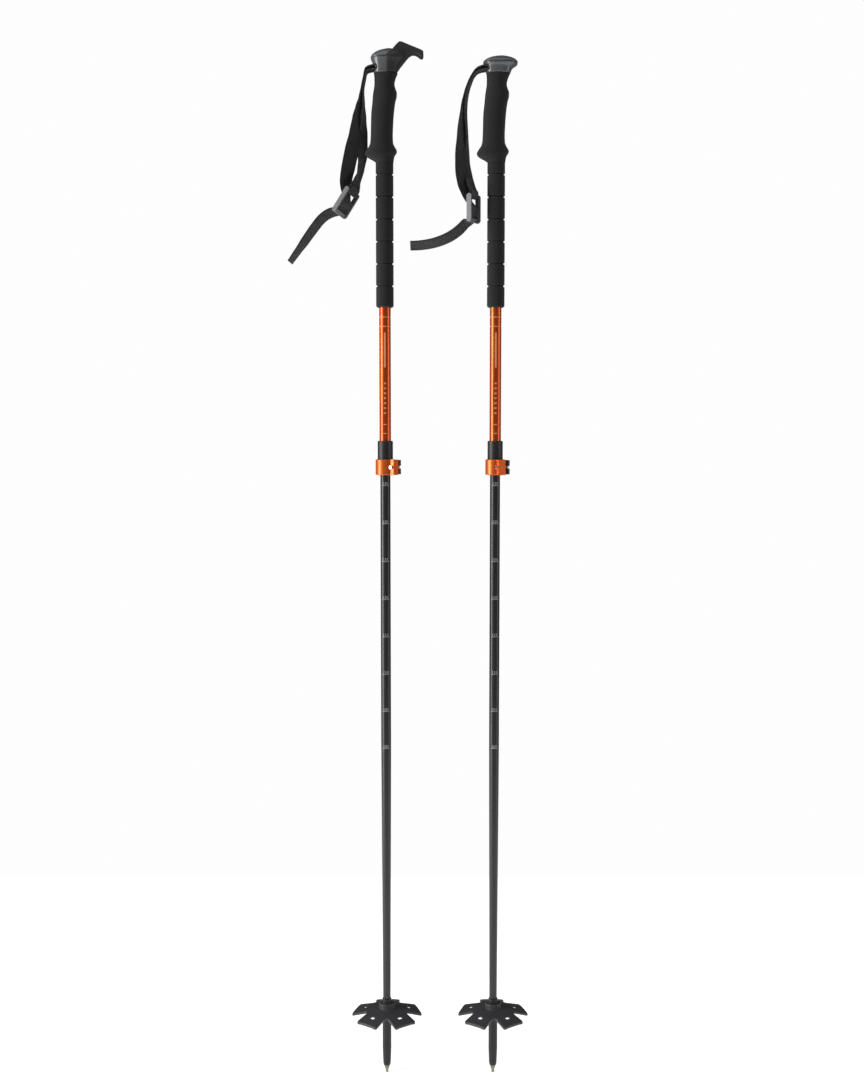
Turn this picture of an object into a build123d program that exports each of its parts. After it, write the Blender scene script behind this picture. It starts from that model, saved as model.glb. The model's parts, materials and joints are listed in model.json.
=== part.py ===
from build123d import *
import math
import os

# A pair of two-section touring poles, standing upright side by side.
# Millimetres, +Z up, both tips on z = 0. The left pole's axis is the Z axis, and the
# right pole stands at +X. The front of each grip faces +X, and its strap hangs at -X.

# ---------------------------------------------------------------- overall sizes
pole_spacing = 144.0        # between the two pole axes
glue_gap = 0.03             # radial gap in every glued or pressed joint
slide_gap = 0.15            # radial gap round the sliding lower shaft
turn_gap = 0.07             # radial gap of pins, screws and other turning fits

# ---------------------------------------------------------------- tip and ferrule
insert_r = 2.0              # hard metal tip rod
insert_top = 14.0
insert_chamfer = 0.35
notch_width = 0.6           # crown notches in the tip's end face
notch_depth = 0.5
notch_inner_r = 0.8

holder_bottom = 5.5         # metal collar that holds the tip rod
holder_bottom_r = 2.7
holder_top = 10.6
holder_top_r = 4.25
holder_shank_r = 3.0
holder_shank_top = 24.0

ferrule_nose_r = 4.6        # black tip cone that carries the basket
ferrule_shoulder = 13.7
ferrule_shoulder_r = 5.2
ferrule_r = 6.0
ferrule_straight_from = 35.0
ferrule_top = 104.0
ferrule_socket_from = 45.0
snap_ridge_height = 1.6     # ridge under the basket hub
snap_ridge_r = 6.6
stop_collar_height = 2.4    # collar over the basket hub
stop_collar_r = 7.6
stop_collar_lip = 0.4       # what is left of the collar's step at its top

# ---------------------------------------------------------------- basket
basket_r = 48.0             # to the lobes' corners
basket_rim_z = 82.0         # top of the rim
basket_crown_z = 91.0       # top of the web at the hub
web_thickness = 2.0
rim_depth = 3.6             # how far the turned-down edge reaches under the top
rim_wall = 2.0
hub_r = 10.5
hub_top = 98.0
hub_bottom = 76.0
basket_gap = 0.3            # axial play of the hub between ridge and collar
notch_root_r = 29.0
notch_root_half = 2.6
lobe_half_angle = 20.5
lobe_corner_r = 2.4
lobe_count = 5
lobe_hole_at = 31.0         # radius of the oval hole's centre
lobe_hole_length = 6.0
lobe_hole_width = 4.2
lobe_groove_at = 24.5       # blind groove between hub and hole
lobe_groove_length = 8.0
lobe_groove_width = 1.8
web_bulge = 1.2             # how far the web's top rises over a straight cone
hub_edge = 0.8

# ---------------------------------------------------------------- shafts
shaft_wall = 0.9
lower_end_r = 5.15          # lower shaft at the ferrule
lower_r = 6.6               # lower shaft above its taper
taper_top = 452.0
lower_top = 940.0
bush_head = 8.0             # guide bush on the lower shaft's top end
bush_shank = 16.0
bush_bore_r = 3.2
upper_r = 7.5
upper_wall = 0.75
upper_bore_r = upper_r - upper_wall
upper_bottom = 838.0
upper_top = 1318.0
plug_shank = 13.0           # plug glued into the upper shaft's top
plug_head = 3.0

# ---------------------------------------------------------------- clamp
sleeve_bottom = 812.8
sleeve_top = 857.8
sleeve_r = 10.0
sleeve_edge = 0.8
band_bottom = 813.5
band_height = 20.0
band_thickness = 2.8
band_edge = 0.6
band_slit_at = -25.0        # degrees round the pole from the lever pin
band_slit = 2.4
pivot_at = 17.0             # lever pin's distance from the pole axis
pin_r = 2.0
lever_height = 18.6
cam_r = 3.5
lever_gap = 0.4             # lever's clearance over the band
lever_thickness = 2.8
lever_from = 8.0            # degrees round the pole where the arm starts and ends
lever_to = 116.0
lever_tip_out = 2.6         # the free end stands off the band by this much more
fork_gap = 3.6              # gap between the lever's two cheeks
fork_reach = 5.4
screw_line_at = -38.0       # degrees round the pole where the screw passes closest
screw_r = 1.3
screw_head_r = 2.5
screw_head_height = 1.8
screw_tail = 1.4            # how far the screw reaches past the pin's middle
hex_r = 1.3
hex_depth = 1.1
ear_half = 3.7              # half thickness of the band's two ears, which the screw pulls together
ear_length = 10.4
screw_head_gap = 0.3        # axial play under the screw's head
screw_recess = 0.4          # radial room round the screw's head
head_back = 4.2             # screw head's seat, behind the closest point
left_clamp_turn = 0.0       # degrees, how each clamp is turned round its pole
right_clamp_turn = -26.0

# ---------------------------------------------------------------- grip
foam_sleeve_bottom = 1030.5
foam_sleeve_r = 11.4
foam_sleeve_edge = 1.8
groove_count = 6
groove_first = 1058.0
groove_pitch = 28.4
groove_r = 1.5
core_bottom = 1216.0        # grip core and grip foam stand on the foam sleeve
core_r = 9.0
core_top = 1329.0
head_bottom = 1327.0
# Each grip section: height, reach to the rear, reach to the front, half depth.
grip_sections = [
    (core_bottom, 12.0, 11.8, 11.8),
    (1221.0, 20.0, 12.4, 15.0),
    (1225.0, 25.6, 14.0, 17.2),
    (1229.0, 25.0, 16.1, 17.4),
    (1232.5, 22.2, 15.4, 16.6),
    (1238.5, 18.8, 11.8, 14.2),
    (1247.0, 17.8, 10.9, 13.3),
    (1261.0, 17.4, 11.3, 13.2),
    (1276.0, 17.0, 12.3, 13.2),
    (1291.5, 15.4, 14.5, 13.0),
    (1299.0, 14.8, 16.2, 12.8),
    (1306.5, 13.8, 15.3, 12.5),
    (1314.0, 12.6, 13.2, 12.2),
    (1320.5, 12.6, 14.6, 12.2),
    (head_bottom, 13.2, 17.4, 12.8),
]

# ---------------------------------------------------------------- head and strap
head_extra = {"left": 6.0, "right": 0.0}    # the hooked head is taller
head_roundness = 0.62       # corner radius as a share of the half depth
head_rim_z = 1339.5         # underside of the cap's rim on the plain head
head_rim = (17.4, 27.0, 17.5)               # rim's reach to rear, front and side
head_rim_edge = 1.2
head_step = 0.3             # the head stands this much proud of the foam at the side
cap_seam = 0.5              # shadow gap between head and cap
cap_rim_height = 0.9
cap_rim_edge = 0.5
cap_height = {"left": 12.5, "right": 9.4}
# The cap's dome: share of its rise, then the reach to rear and front and the half depth.
cap_dome = [
    (0.0, 17.4, 27.0, 17.5),
    (0.3, 15.3, 25.4, 15.8),
    (0.57, 11.2, 21.4, 12.8),
    (0.78, 5.6, 16.2, 9.2),
    (0.92, -0.4, 11.8, 5.6),
    (1.0, -3.0, 9.2, 2.8),
]
cap_peg_r = 5.2
cap_peg_depth = 3.0
head_screw_r = 1.75
head_screw_head_r = 3.4
head_screw_head = 2.4
head_screw_seat = 1331.5
head_screw_bottom = 1309.0
strap_pin_x = -9.6
strap_pin_z = 1334.0
strap_pin_r = 1.5
strap_pin_half = 11.6
strap_width = 20.0
strap_thickness = 1.3
strap_slot_side = 0.9       # slot's clearance beside the webbing
strap_slot_r = 3.5
strap_hinge_x = -19.5       # where the strap bends as it hangs out of the slot

# ---------------------------------------------------------------- hook (left head)
hook_back_x = 3.5
hook_side = 10.0            # half width of the hook
hook_toe_x = 14.2

# ---------------------------------------------------------------- buckle
buckle_length = 36.0
buckle_width = 26.0
buckle_depth = 7.0          # depth of its two side plates
buckle_plate = 2.4
buckle_corner = 3.2
buckle_lip = 4.6            # thumb lip under the bottom bar
buckle_lip_thickness = 2.2
bar_r = 1.3
bar_places = (-14.0, 1.0, 14.0)             # down the buckle from its middle
strap_bar_gap = 0.3

# For each strap: the buckle's centre, its lean and turn in degrees, then the outer and the
# inner strand as a point and a turn from edge-on, and the tail as a point and a width
# direction. All points are measured from the pole's own axis.
strap_route = {
    "left": (
        (-49.5, -8.0, 1163.5), 32.0, -40.0,
        [
            ((-22.1, 0, 1333.6), 0), ((-26.0, 0, 1322.5), 0), ((-28.4, 0, 1309.0), -3),
            ((-30.2, 0, 1296.0), -10), ((-32.5, -0.5, 1283.0), -22), ((-34.6, -3, 1268.0), -36),
            ((-37.0, -6, 1250.0), -48), ((-41.5, -7, 1230.0), -60), ((-46.0, -7, 1209.0), -58),
            ((-49.2, -5, 1193.0), -48),
        ],
        [
            ((-22.0, 0, 1332.5), 0), ((-24.4, 0, 1321.5), 0), ((-26.7, 0, 1308.5), 0),
            ((-26.6, 0.5, 1290.0), -4), ((-27.2, 3.5, 1270.0), -17), ((-28.2, 7, 1250.0), -33),
            ((-28.8, 9, 1229.0), -36), ((-30.6, 8, 1212.0), -22), ((-33.8, 3, 1196.0), -14),
            ((-36.4, -4, 1186.0), -24),
        ],
        [
            ((-64.0, -4.0, 1152.5), (-0.3, -0.85, 0.4)), ((-72.0, -3.0, 1150.0), (-0.25, -0.87, 0.41)),
            ((-81.0, -3.0, 1143.5), (-0.3, -0.87, 0.36)), ((-91.0, -3.0, 1131.5), (-0.36, -0.89, 0.29)),
            ((-101.5, -3.0, 1117.0), (-0.34, -0.9, 0.24)), ((-112.0, -3.0, 1102.5), (-0.24, -0.95, 0.18)),
            ((-122.5, -3.0, 1088.0), (-0.18, -0.97, 0.14)),
        ],
    ),
    "right": (
        (-29.2, -6.0, 1156.6), 0.0, -30.0,
        [
            ((-22.2, 0, 1333.6), 0), ((-30.0, 0, 1326.4), 0), ((-35.4, 0, 1315.0), 0),
            ((-39.4, 0, 1302.0), -5), ((-42.4, -1, 1283.0), -16), ((-45.0, -3, 1249.0), -33),
            ((-45.3, -5, 1221.0), -50), ((-44.4, -5, 1203.0), -56), ((-42.6, -3.5, 1190.0), -50),
            ((-39.6, -1.5, 1178.0), -38),
        ],
        [
            ((-22.0, 0, 1332.5), 0), ((-28.7, 0, 1325.3), 0), ((-33.9, 0, 1314.2), 0),
            ((-37.4, 0, 1302.0), 0), ((-38.6, 2, 1283.0), -4), ((-37.8, 7, 1249.0), -10),
            ((-37.8, 11, 1221.0), -22), ((-35.8, 8, 1203.0), -29), ((-32.6, 1, 1188.0), -30),
        ],
        [
            ((-38.0, -1.0, 1139.0), (-0.4, -0.85, 0.35)), ((-47.5, 1.5, 1130.0), (-0.3, -0.82, 0.5)),
            ((-58.0, 2.0, 1122.5), (-0.2, -0.82, 0.54)), ((-71.0, 2.0, 1116.5), (-0.1, -0.84, 0.55)),
            ((-85.0, 2.0, 1112.5), (-0.05, -0.85, 0.52)), ((-99.0, 2.0, 1110.5), (0, -0.86, 0.5)),
            ((-111.0, 2.0, 1110.0), (0, -0.87, 0.48)),
        ],
    ),
}

os.makedirs("parts", exist_ok=True)


def save(piece, name):
    piece.part.label = name
    export_step(piece.part, f"parts/{name}.step")


def standing(x, z):
    """A level plane on the pole axis at x, at height z."""
    return Plane(origin=(x, 0, z), x_dir=(1, 0, 0), z_dir=(0, 0, 1))


def side_plane(x):
    """The upright plane through the pole's axis, for turned profiles and side outlines."""
    return Plane(origin=(x, 0, 0), x_dir=(1, 0, 0), z_dir=(0, -1, 0))


def across_plane(x, half):
    """The side plane moved back by half, so that an extrusion of twice half is centred."""
    return Plane(origin=(x, half, 0), x_dir=(1, 0, 0), z_dir=(0, -1, 0))


def turned(x, outline):
    """A solid of revolution about the pole's axis from (radius, height) points."""
    with BuildPart() as piece:
        with BuildSketch(side_plane(x)):
            with BuildLine():
                Polyline(*outline, close=True)
            make_face()
        revolve(axis=Axis((x, 0, 0), (0, 0, 1)))
    return piece


def head_loft(x, sections):
    """A loft through level rounded rectangles, given like the ovals of a grip."""
    with BuildPart() as piece:
        for height, rear, front, half_depth in sections:
            with BuildSketch(standing(x + (front - rear) / 2, height)):
                RectangleRounded(front + rear, 2 * half_depth, half_depth * head_roundness)
        loft(ruled=True)
    return piece


def oval_loft(x, sections):
    """A loft through level ovals: height, reach to rear, reach to front, half depth."""
    with BuildPart() as piece:
        for height, rear, front, half_depth in sections:
            with BuildSketch(standing(x + (front - rear) / 2, height)):
                Ellipse((front + rear) / 2, half_depth)
        loft(ruled=True)
    return piece


# ================================================================ lower end
def make_tip(side, x):
    with BuildPart() as tip_insert:
        with BuildSketch(standing(x, 0)):
            Circle(insert_r)
        extrude(amount=insert_top)
        chamfer(tip_insert.edges().sort_by(Axis.Z)[0], insert_chamfer)
        with BuildSketch(standing(x, 0)):
            with PolarLocations(notch_inner_r + insert_r, 4):
                Rectangle(2 * insert_r, notch_width)
        extrude(amount=notch_depth, mode=Mode.SUBTRACT)
    save(tip_insert, f"{side}_tip_insert")

    tip_holder = turned(x, [
        (insert_r + glue_gap, holder_bottom),
        (holder_bottom_r, holder_bottom),
        (holder_top_r, holder_top),
        (holder_shank_r, holder_top),
        (holder_shank_r, holder_shank_top),
        (0, holder_shank_top),
        (0, insert_top),
        (insert_r + glue_gap, insert_top),
    ])
    save(tip_holder, f"{side}_tip_holder")


def make_ferrule(side, x):
    ridge_top = hub_bottom - basket_gap
    collar_bottom = hub_top + basket_gap
    socket_r = lower_end_r + glue_gap
    ferrule = turned(x, [
        (0, holder_shank_top),
        (holder_shank_r + glue_gap, holder_shank_top),
        (holder_shank_r + glue_gap, holder_top),
        (ferrule_nose_r, holder_top),
        (ferrule_shoulder_r, ferrule_shoulder),
        (ferrule_r, ferrule_straight_from),
        (ferrule_r, ridge_top - snap_ridge_height),
        (snap_ridge_r, ridge_top - snap_ridge_height / 2),
        (snap_ridge_r, ridge_top),
        (ferrule_r, ridge_top),
        (ferrule_r, collar_bottom),
        (stop_collar_r, collar_bottom),
        (stop_collar_r, collar_bottom + stop_collar_height / 2),
        (ferrule_r + stop_collar_lip, collar_bottom + stop_collar_height),
        (ferrule_r, ferrule_top),
        (socket_r, ferrule_top),
        (socket_r, ferrule_socket_from),
        (0, ferrule_socket_from),
    ])
    save(ferrule, f"{side}_ferrule")


def basket_outline(x, inset):
    """The basket's plan of five straight-ended lobes, drawn in by inset."""
    half = math.radians(lobe_half_angle)
    chord_at = basket_r * math.cos(half) - inset
    chord_half = basket_r * math.sin(half) - inset
    step = math.pi / lobe_count
    root_half = notch_root_half + inset
    root = notch_root_r - inset
    side_at = root * math.cos(step) + root_half * math.sin(step)
    side_half = root * math.sin(step) - root_half * math.cos(step)
    with BuildSketch(standing(x, hub_bottom)) as plan:
        Circle(root)
        for number in range(lobe_count):
            with Locations(Location((0, 0, 0), (0, 0, 90 + number * 360 / lobe_count))):
                Polygon((0, -side_half), (side_at, -side_half), (chord_at, -chord_half),
                        (chord_at, chord_half), (side_at, side_half), (0, side_half), align=None)
        fillet([corner for corner in plan.vertices() if corner.center().length > chord_at], lobe_corner_r)
    return plan


def web_band(x, upper, lower):
    """The domed web's material between two depths below its top."""
    inner_end = hub_r - web_thickness / 2
    outer_end = basket_r + web_thickness / 2
    middle = (inner_end + outer_end) / 2
    middle_z = (basket_crown_z + basket_rim_z) / 2 + web_bulge
    return turned(x, [
        (inner_end, basket_crown_z - upper),
        (middle, middle_z - upper),
        (outer_end, basket_rim_z - upper),
        (outer_end, basket_rim_z - lower),
        (middle, middle_z - lower),
        (inner_end, basket_crown_z - lower),
    ])


def make_basket(side, x):
    inner_plan = basket_outline(x, rim_wall)
    outer_plan = basket_outline(x, 0)
    pocket_band = web_band(x, web_thickness, rim_depth + 1)
    with BuildPart() as pocket:
        add(pocket_band.part)
        extrude(inner_plan.sketch, amount=hub_top - hub_bottom, mode=Mode.INTERSECT)
    full_band = web_band(x, 0, rim_depth)
    with BuildPart() as basket:
        add(full_band.part)
        extrude(outer_plan.sketch, amount=hub_top - hub_bottom, both=True, mode=Mode.INTERSECT)
        add(pocket.part, mode=Mode.SUBTRACT)
        with BuildSketch(standing(x, hub_bottom)):
            Circle(hub_r)
        extrude(amount=hub_top - hub_bottom)
        chamfer(basket.edges().group_by(Axis.Z)[-1], hub_edge)
        with BuildSketch(standing(x, hub_bottom)):
            for number in range(lobe_count):
                middle = 90 + number * 360 / lobe_count
                with Locations(Location((0, 0, 0), (0, 0, middle))):
                    with Locations((lobe_hole_at, 0)):
                        SlotOverall(lobe_hole_length, lobe_hole_width, rotation=90)
        extrude(amount=hub_top - hub_bottom, both=True, mode=Mode.SUBTRACT)
        with BuildSketch(standing(x, basket_crown_z - web_thickness)):
            for number in range(lobe_count):
                middle = 90 + number * 360 / lobe_count
                with Locations(Location((0, 0, 0), (0, 0, middle))):
                    with Locations((lobe_groove_at, 0)):
                        SlotOverall(lobe_groove_length, lobe_groove_width, rotation=90)
        extrude(amount=web_thickness, mode=Mode.SUBTRACT)
        with BuildSketch(standing(x, hub_bottom)):
            Circle(ferrule_r + turn_gap)
        extrude(amount=hub_top - hub_bottom, mode=Mode.SUBTRACT)
    save(basket, f"{side}_basket")


# ================================================================ shafts
def make_lower_shaft(side, x):
    lower_shaft = turned(x, [
        (lower_end_r, ferrule_socket_from),
        (lower_end_r, ferrule_top),
        (lower_r, taper_top),
        (lower_r, lower_top),
        (lower_r - shaft_wall, lower_top),
        (lower_r - shaft_wall, taper_top),
        (lower_end_r - shaft_wall, ferrule_top),
        (lower_end_r - shaft_wall, ferrule_socket_from),
    ])
    save(lower_shaft, f"{side}_lower_shaft")

    shank_r = lower_r - shaft_wall - glue_gap
    head_r = upper_bore_r - turn_gap
    guide_bush = turned(x, [
        (bush_bore_r, lower_top - bush_shank),
        (shank_r, lower_top - bush_shank),
        (shank_r, lower_top),
        (head_r, lower_top),
        (head_r, lower_top + bush_head - 1),
        (head_r - 1, lower_top + bush_head),
        (bush_bore_r, lower_top + bush_head),
    ])
    save(guide_bush, f"{side}_guide_bush")


def make_upper_shaft(side, x):
    upper_shaft = turned(x, [
        (upper_bore_r, upper_bottom),
        (upper_r, upper_bottom),
        (upper_r, upper_top),
        (upper_bore_r, upper_top),
    ])
    save(upper_shaft, f"{side}_upper_shaft")

    pilot_r = head_screw_r + glue_gap
    shaft_plug = turned(x, [
        (pilot_r, upper_top - plug_shank),
        (upper_bore_r - glue_gap, upper_top - plug_shank),
        (upper_bore_r - glue_gap, upper_top),
        (upper_r, upper_top),
        (upper_r, upper_top + plug_head),
        (pilot_r, upper_top + plug_head),
    ])
    save(shaft_plug, f"{side}_shaft_plug")


# ================================================================ clamp
def around(x, degrees, distance, height):
    """A point at an angle round the pole at x."""
    angle = math.radians(degrees)
    return Vector(x + distance * math.cos(angle), distance * math.sin(angle), height)


def screw_frame(x, turn):
    """Plane at the screw head's seat, its normal along the screw towards the lever pin."""
    middle = band_bottom + band_height / 2
    pivot = around(x, turn, pivot_at, middle)
    nearest = around(x, turn + screw_line_at, pivot_at * math.cos(math.radians(screw_line_at)), middle)
    along = (pivot - nearest).normalized()
    return Plane(origin=nearest - along * head_back, x_dir=(0, 0, 1), z_dir=along)


def make_clamp_sleeve(side, x, turn):
    body = turned(x, [
        (lower_r + slide_gap, sleeve_bottom),
        (sleeve_r - sleeve_edge, sleeve_bottom),
        (sleeve_r, band_bottom),
        (sleeve_r, sleeve_top - sleeve_edge),
        (sleeve_r - sleeve_edge, sleeve_top),
        (upper_r + glue_gap, sleeve_top),
        (upper_r + glue_gap, upper_bottom),
        (lower_r + slide_gap, upper_bottom),
    ])
    slit_plane = Plane(origin=around(x, turn + band_slit_at, sleeve_r, sleeve_bottom),
                       x_dir=around(0, turn + band_slit_at, 1, 0), z_dir=(0, 0, 1))
    with BuildPart() as clamp_sleeve:
        add(body.part)
        with BuildSketch(slit_plane):
            Rectangle(2 * (sleeve_r - lower_r), band_slit * 0.7)
        extrude(amount=band_height, mode=Mode.SUBTRACT)
    save(clamp_sleeve, f"{side}_clamp_sleeve")


def make_clamp_band(side, x, turn):
    inner_r = sleeve_r + glue_gap
    outer_r = sleeve_r + band_thickness
    seat = screw_frame(x, turn)
    ring = turned(x, [
        (inner_r, band_bottom),
        (outer_r - band_edge, band_bottom),
        (outer_r, band_bottom + band_edge),
        (outer_r, band_bottom + band_height - band_edge),
        (outer_r - band_edge, band_bottom + band_height),
        (inner_r, band_bottom + band_height),
    ])
    slit_plane = Plane(origin=around(x, turn + band_slit_at, sleeve_r + band_thickness / 2, band_bottom),
                       x_dir=around(0, turn + band_slit_at, 1, 0), z_dir=(0, 0, 1))
    with BuildPart() as clamp_band:
        add(ring.part)
        with BuildSketch(seat):
            Rectangle(band_height, 2 * ear_half)
        extrude(amount=ear_length)
        with BuildSketch(standing(x, band_bottom)):
            Circle(inner_r)
        extrude(amount=band_height, mode=Mode.SUBTRACT)
        with BuildSketch(slit_plane):
            Rectangle(4 * band_thickness, band_slit)
        extrude(amount=band_height, mode=Mode.SUBTRACT)
        with BuildSketch(seat):
            Circle(screw_r + turn_gap)
        extrude(amount=2 * pivot_at, mode=Mode.SUBTRACT)
        with BuildSketch(seat):
            Circle(screw_head_r + screw_recess)
        extrude(amount=-3 * screw_head_height, mode=Mode.SUBTRACT)
    save(clamp_band, f"{side}_clamp_band")


def make_lever(side, x, turn):
    middle = band_bottom + band_height / 2
    foot = middle - lever_height / 2
    pivot = around(x, turn, pivot_at, foot)
    seat = screw_frame(x, turn)
    screw_reach = (around(x, turn, pivot_at, middle) - seat.origin).length

    with BuildPart() as lever_pin:
        with BuildSketch(Plane(origin=pivot, z_dir=(0, 0, 1))):
            Circle(pin_r)
        extrude(amount=lever_height)
        chamfer(lever_pin.edges().filter_by(GeomType.CIRCLE), 0.3)
        with BuildSketch(seat):
            Circle(screw_r + turn_gap)
        extrude(amount=2 * pivot_at, mode=Mode.SUBTRACT)
    save(lever_pin, f"{side}_lever_pin")

    arm_r = sleeve_r + band_thickness + lever_gap + lever_thickness / 2
    sweep_angle = lever_to - lever_from
    steps = 4
    with BuildPart() as clamp_lever:
        with BuildSketch(Plane(origin=pivot, z_dir=(0, 0, 1))):
            Circle(cam_r)
        extrude(amount=lever_height)
        with BuildSketch(standing(x, foot)):
            with BuildLine() as spine:
                points = []
                for step in range(steps + 1):
                    share = step / steps
                    out = lever_tip_out * max(0, share - 0.5) * 2
                    angle = turn + lever_from + sweep_angle * share
                    points.append(around(0, angle, arm_r + out, 0))
                Spline(*points)
            trace(spine.line, line_width=lever_thickness)
        extrude(amount=lever_height)
        with BuildSketch(Plane(origin=pivot + Vector(0, 0, (lever_height - fork_gap) / 2), z_dir=(0, 0, 1))):
            Circle(fork_reach)
        extrude(amount=fork_gap, mode=Mode.SUBTRACT)
        with BuildSketch(Plane(origin=pivot, z_dir=(0, 0, 1))):
            Circle(pin_r + turn_gap)
        extrude(amount=lever_height, mode=Mode.SUBTRACT)
    save(clamp_lever, f"{side}_clamp_lever")

    with BuildPart() as tension_screw:
        with BuildSketch(seat):
            Circle(screw_r)
        extrude(amount=screw_reach + screw_tail)
        with BuildSketch(seat.offset(-screw_head_gap)):
            Circle(screw_head_r)
        extrude(amount=-screw_head_height)
        with BuildSketch(seat.offset(-screw_head_gap)):
            Circle(screw_r)
        extrude(amount=screw_head_gap)
        with BuildSketch(seat.offset(-screw_head_gap - screw_head_height)):
            RegularPolygon(hex_r, 6)
        extrude(amount=hex_depth, mode=Mode.SUBTRACT)
    save(tension_screw, f"{side}_tension_screw")


# ================================================================ grip
def make_grip(side, x):
    bore_r = upper_r + glue_gap
    outline = [(bore_r, foam_sleeve_bottom), (foam_sleeve_r - foam_sleeve_edge, foam_sleeve_bottom),
               (foam_sleeve_r, foam_sleeve_bottom + foam_sleeve_edge),
               (foam_sleeve_r, core_bottom), (bore_r, core_bottom)]
    body = turned(x, outline)
    with BuildPart() as foam_sleeve:
        add(body.part)
        with BuildSketch(side_plane(x)):
            for number in range(groove_count):
                with Locations((foam_sleeve_r, groove_first + number * groove_pitch)):
                    Circle(groove_r)
        revolve(axis=Axis((x, 0, 0), (0, 0, 1)), mode=Mode.SUBTRACT)
    save(foam_sleeve, f"{side}_foam_sleeve")

    grip_core = turned(x, [
        (bore_r, core_bottom),
        (core_r, core_bottom),
        (core_r, core_top),
        (head_screw_r + glue_gap, core_top),
        (head_screw_r + glue_gap, upper_top + plug_head),
        (bore_r, upper_top + plug_head),
    ])
    save(grip_core, f"{side}_grip_core")

    shape = oval_loft(x, grip_sections)
    with BuildPart() as grip_foam:
        add(shape.part)
        with BuildSketch(standing(x, core_bottom)):
            Circle(core_r + glue_gap)
        extrude(amount=core_top - core_bottom, mode=Mode.SUBTRACT)
    save(grip_foam, f"{side}_grip_foam")


# ================================================================ head
def hook_back(rim):
    """The line where the hook's saddle meets the rear half of the head and the cap."""
    return [(hook_back_x, head_bottom), (hook_back_x, rim + 2.0), (hook_back_x + 10.0, rim + 14.0)]


def hook_outline(x):
    """Side outline of the hook, with its saddle on the front of the head."""
    rim = head_rim_z + head_extra["left"]
    with BuildSketch(side_plane(x)) as outline:
        with BuildLine():
            saddle = Polyline((hook_toe_x, head_bottom), *hook_back(rim),
                              (17.4, rim + 18.3), (19.6, rim + 20.0))
            crest = Line(saddle @ 1, (22.6, rim + 19.6))
            back = Line(crest @ 1, (48.0, rim + 9.4))
            nose = Spline(back @ 1, (50.4, rim + 6.0), (49.2, rim + 1.6), (45.6, rim + 2.2),
                          (41.6, rim + 5.2), (36.8, rim + 6.4))
            Spline(nose @ 1, (31.8, rim + 4.2), (25.8, rim - 2.6), (20.2, rim - 9.6), saddle @ 0)
        make_face()
    return outline


def hook_room(x):
    """The space in front of the saddle's back line, a glue gap behind it."""
    rim = head_rim_z + head_extra["left"]
    line = [(place - glue_gap, height) for place, height in hook_back(rim)]
    far = 2 * head_rim[1]
    with BuildSketch(side_plane(x)) as outline:
        with BuildLine():
            Polyline((far, head_bottom - 1), (line[0][0], head_bottom - 1), *line,
                     (line[-1][0], rim + far), (far, rim + far), close=True)
        make_face()
    return outline


def head_sections(side):
    rim_z = head_rim_z + head_extra[side]
    rear, front, depth = head_rim
    neck_z, neck_rear, neck_front, neck_depth = grip_sections[-1]
    return [
        (neck_z, neck_rear, neck_front, neck_depth + head_step),
        (neck_z + 0.45 * (rim_z - neck_z), neck_rear + 0.6, neck_front + 2.4, neck_depth + 1.2),
        (rim_z - head_rim_edge, rear - head_rim_edge, front - head_rim_edge, depth - head_rim_edge),
        (rim_z, rear, front, depth),
    ]


def cap_sections(side):
    """The cap's lens shape, from its seam with the head to its crown."""
    rear, front, depth = head_rim
    bottom = head_rim_z + head_extra[side] + cap_seam
    dome_from = bottom + cap_rim_height
    dome_rise = cap_height[side] - cap_rim_height
    sections = [(bottom, rear - cap_rim_edge, front - cap_rim_edge, depth - cap_rim_edge)]
    for share, *reach in cap_dome:
        sections.append((dome_from + dome_rise * share, *reach))
    return sections


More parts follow.
